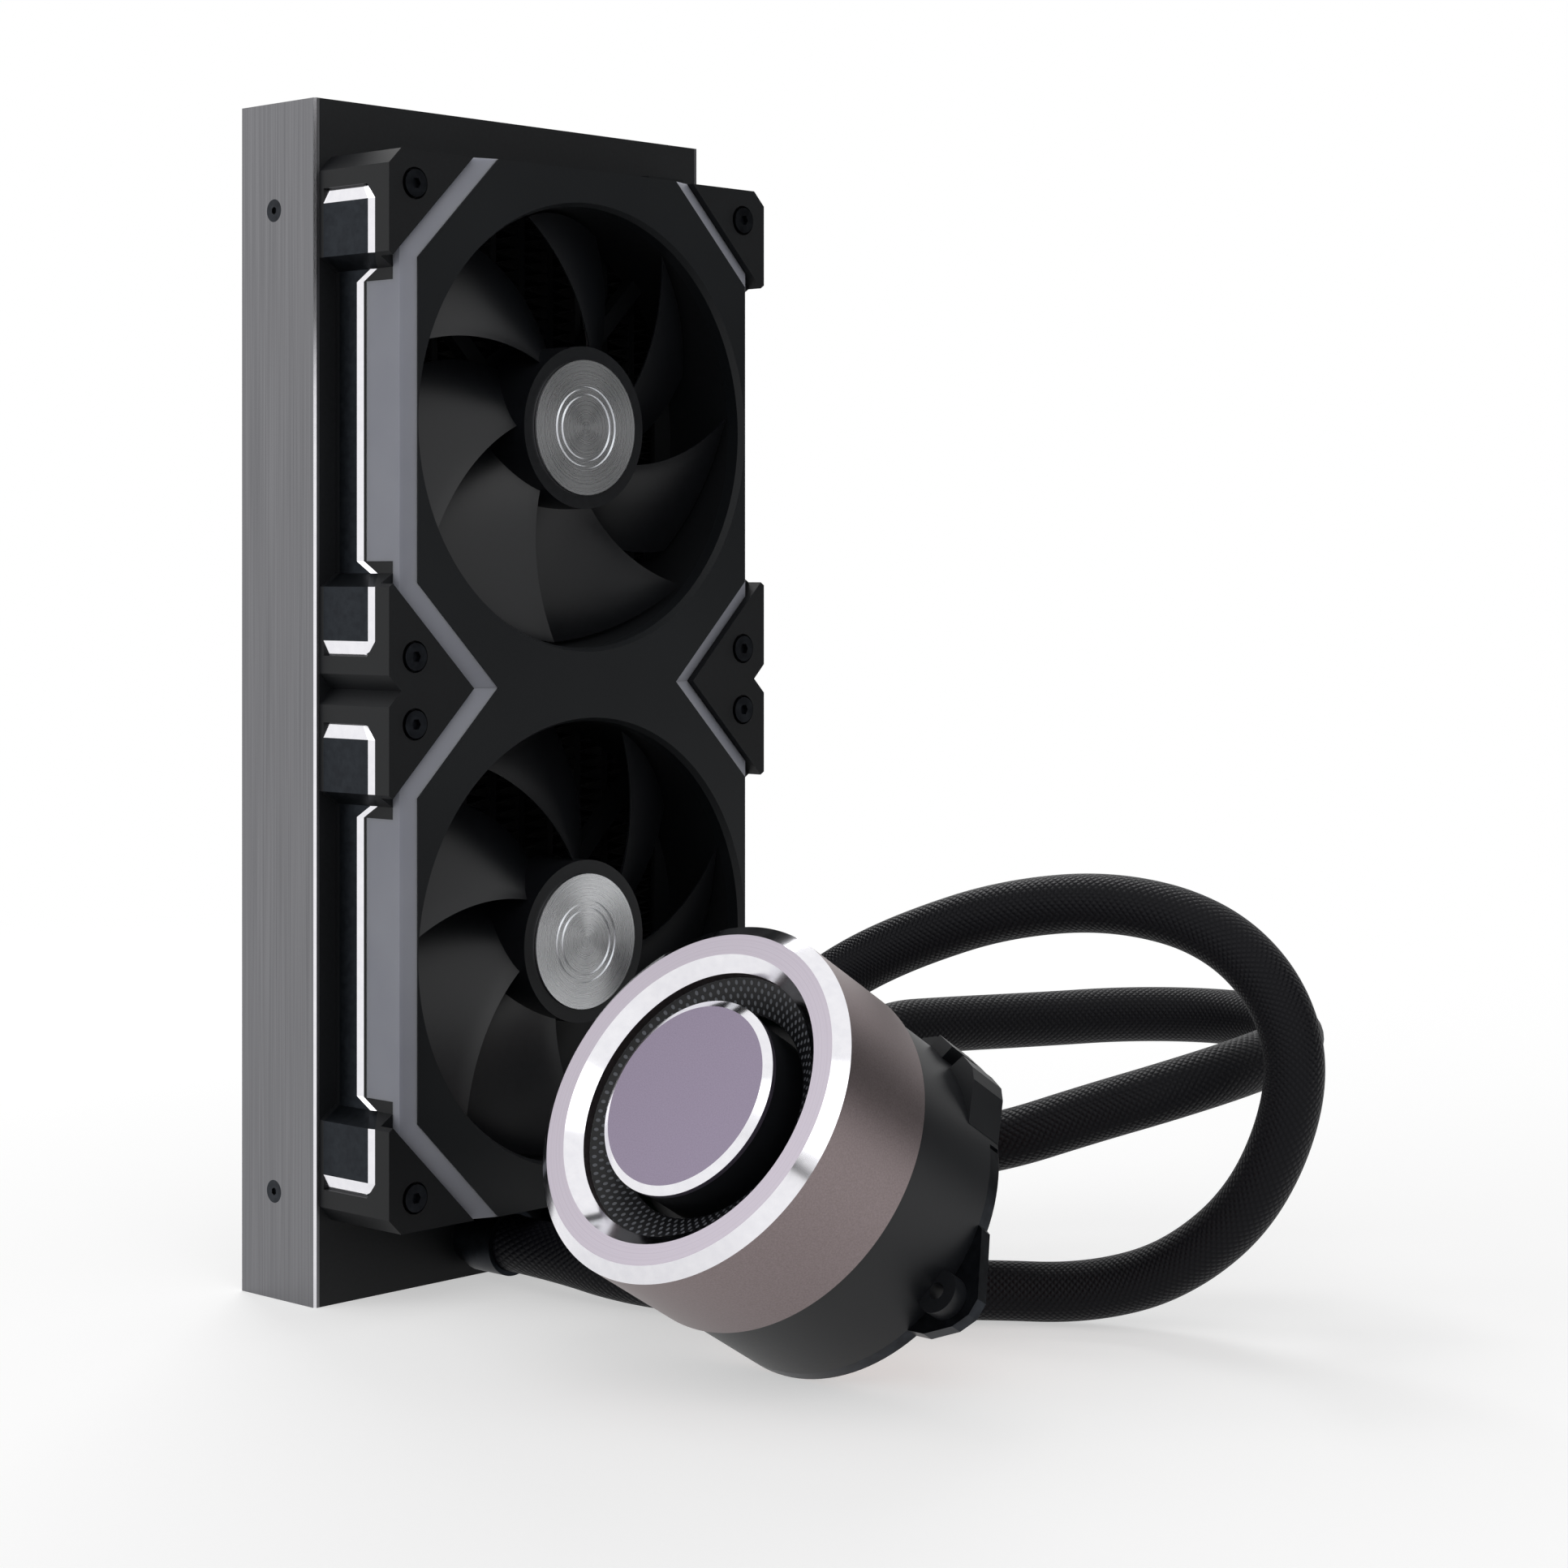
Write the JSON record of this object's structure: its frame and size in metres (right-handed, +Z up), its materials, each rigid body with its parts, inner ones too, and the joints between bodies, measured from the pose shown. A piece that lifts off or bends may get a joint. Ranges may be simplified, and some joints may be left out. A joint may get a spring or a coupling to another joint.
{
  "type": "processor liquid cooler",
  "caption": "All in one liquid cooler for a computer processor: an upright slim radiator with linked framed fans, a round tilted pump head and two sleeved hoses.",
  "frame": {"origin": "centre of the underside of the radiator's bottom tank, on the surface that it stands on", "axes": "+Z up along the radiator's length, +X across its width, -Y the side the fans are on and face"},
  "size_m": [0.2062, 0.2166, 0.2722],
  "materials": {
    "black_coated_aluminium": "black powder coated aluminium",
    "black_coated_steel": "black painted steel",
    "brushed_side_plate": "grey anodised, brushed lengthwise, bright chamfered edge",
    "black_screw_steel": "black oxide steel",
    "hose_collar": "black anodised crimped collar",
    "black_fan_plastic": "fine textured black",
    "black_fan_metal": "black anodised with bright cut edges",
    "frosted_light_guide": "frosted milky grey, unlit",
    "spun_aluminium": "spun on a lathe, with fine circular marks",
    "motor_steel": "bare electrical steel",
    "bearing_bronze": "sintered bronze",
    "circuit_board": "dark green solder mask",
    "anodised_pump_cap": "bead blasted dark anodised, with polished chamfers",
    "polished_centre_disc": "smooth satin with a polished bevel",
    "black_pump_plastic": "satin black moulding",
    "perforated_ring": "black perforated ring",
    "ceramic_shaft": "ground white ceramic",
    "seal_rubber": "soft black seal",
    "copper": "ground bare copper",
    "sleeved_hose": "rubber hose under a black woven sleeve"
  },
  "bodies": {
    "cooler": {"bottom_tank": "black_coated_aluminium", "coolant_tubes": "black_coated_aluminium", "cooling_fins": "black_coated_aluminium", "fill_plug": "black_screw_steel", "hose_1": "sleeved_hose", "hose_2": "sleeved_hose", "hose_collars": "hose_collar", "left_channel": "black_coated_steel", "left_side_plate": "brushed_side_plate", "lower_fan_bearing": "bearing_bronze", "lower_fan_frame": "black_fan_plastic", "lower_fan_front_plate": "black_fan_metal", "lower_fan_left_light_guide": "frosted_light_guide", "lower_fan_left_side_panel": "black_fan_metal", "lower_fan_motor_board": "circuit_board", "lower_fan_right_light_guide": "frosted_light_guide", "lower_fan_right_side_panel": "black_fan_metal", "lower_fan_screws": "black_screw_steel", "lower_fan_stator": "motor_steel", "pump_base": "black_pump_plastic", "pump_bracket_ring": "black_coated_steel", "pump_cap": "anodised_pump_cap", "pump_centre_disc": "polished_centre_disc", "pump_cold_plate": "copper", "pump_cold_plate_screws": "black_screw_steel", "pump_gasket": "seal_rubber", "pump_light_board": "circuit_board", "pump_lower_elbow": "black_pump_plastic", "pump_mesh_ring": "perforated_ring", "pump_partition": "black_pump_plastic", "pump_shaft": "ceramic_shaft", "pump_stator": "motor_steel", "pump_upper_elbow": "black_pump_plastic", "pump_well": "black_pump_plastic", "radiator_barbs": "black_coated_aluminium", "right_channel": "black_coated_steel", "right_side_plate": "brushed_side_plate", "side_plate_screws": "black_screw_steel", "top_tank": "black_coated_aluminium", "upper_fan_bearing": "bearing_bronze", "upper_fan_frame": "black_fan_plastic", "upper_fan_front_plate": "black_fan_metal", "upper_fan_left_light_guide": "frosted_light_guide", "upper_fan_left_side_panel": "black_fan_metal", "upper_fan_motor_board": "circuit_board", "upper_fan_right_light_guide": "frosted_light_guide", "upper_fan_right_side_panel": "black_fan_metal", "upper_fan_screws": "black_screw_steel", "upper_fan_stator": "motor_steel"},
    "lower_fan_rotor_body": {"lower_fan_rotor": "black_fan_plastic", "lower_fan_hub_cap": "spun_aluminium", "lower_fan_rotor_yoke": "motor_steel", "lower_fan_shaft": "motor_steel"},
    "upper_fan_rotor_body": {"upper_fan_rotor": "black_fan_plastic", "upper_fan_hub_cap": "spun_aluminium", "upper_fan_rotor_yoke": "motor_steel", "upper_fan_shaft": "motor_steel"},
    "pump_impeller_body": {"pump_impeller": "black_pump_plastic"}
  },
  "joints": [
    {"name": "lower_fan_spin", "type": "hinge", "parent": "cooler", "child": "lower_fan_rotor_body", "pos_m": [0, -0.0255, 0.0792], "axis": [0, -1, 0], "continuous": true},
    {"name": "upper_fan_spin", "type": "hinge", "parent": "cooler", "child": "upper_fan_rotor_body", "pos_m": [0, -0.0255, 0.1992], "axis": [0, -1, 0], "continuous": true},
    {"name": "pump_impeller_spin", "type": "hinge", "parent": "cooler", "child": "pump_impeller_body", "pos_m": [-0.0278, -0.1334, 0.03961], "axis": [-0.8572, 0, 0.515], "continuous": true}
  ]
}
